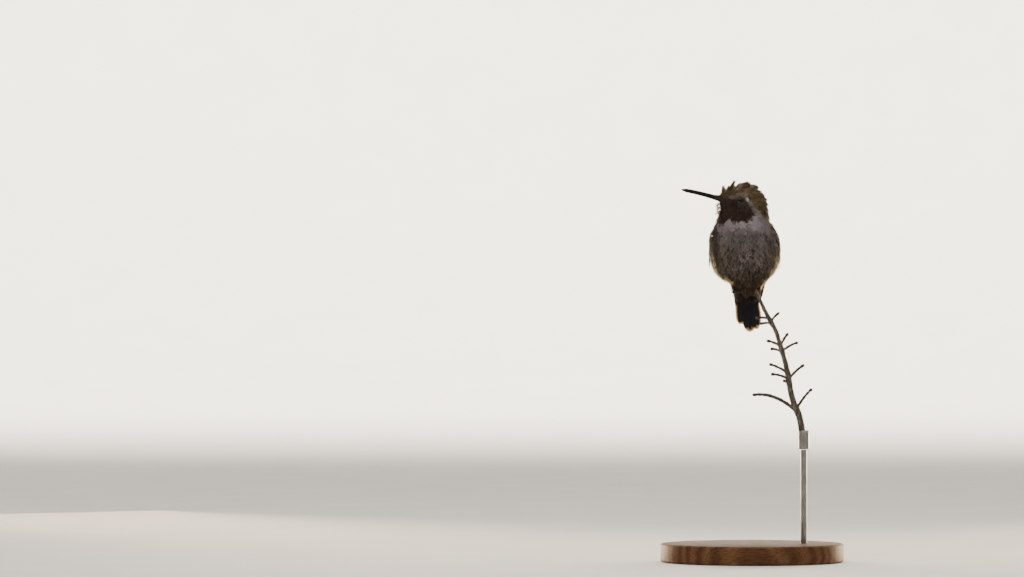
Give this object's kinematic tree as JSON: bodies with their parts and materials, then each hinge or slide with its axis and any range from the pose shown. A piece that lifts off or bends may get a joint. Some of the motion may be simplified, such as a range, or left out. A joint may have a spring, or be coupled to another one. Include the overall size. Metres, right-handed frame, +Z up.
{
  "type": "hummingbird on display stand",
  "caption": "Still, life-size hummingbird with fluffed coat, folded wings and turned head, perched on a cut stem held by a rod on a round base.",
  "frame": {"origin": "centre of the stand's flat underside", "axes": "+Z up; the bird's belly faces -Y; its head is turned so that the bill points to -X, slightly up and 22 degrees towards -Y"},
  "size_m": [0.088, 0.088, 0.1836],
  "materials": {
    "crown_feathers": "dark bronze-green crown feathers with a faint reddish gloss",
    "gorget_feathers": "dark throat feathers that gloss rose to magenta at grazing light",
    "body_feathers": "soft grey-brown feathers with pale edges",
    "wing_feathers": "satin dusky brown flight feathers with ribbed vanes",
    "tail_feathers": "blackish tail feathers with a faint blue gloss and paler tips",
    "bill_horn": "satin black horn",
    "eye": "wet glossy dark brown, almost black",
    "foot_skin": "dark scaly skin, with glossier claws",
    "stem_bark": "dry grey-brown bark with fine ridges",
    "stand_wood": "dark stained wood, satin varnish",
    "stand_steel": "brushed steel"
  },
  "bodies": {
    "root": {"head": "crown_feathers", "neck": "gorget_feathers", "trunk": "body_feathers", "vent": "body_feathers", "wing_left": "wing_feathers", "wing_right": "wing_feathers", "wing_left_primaries": "wing_feathers", "wing_right_primaries": "wing_feathers", "tail": "tail_feathers", "bill_upper": "bill_horn", "bill_lower": "bill_horn", "eye_left": "eye", "eye_right": "eye", "leg_left": "foot_skin", "leg_right": "foot_skin", "foot_left": "foot_skin", "foot_right": "foot_skin", "perch_stem": "stem_bark", "stand_base": "stand_wood", "stand_rod": "stand_steel", "stand_collar": "stand_steel"}
  },
  "joints": []
}
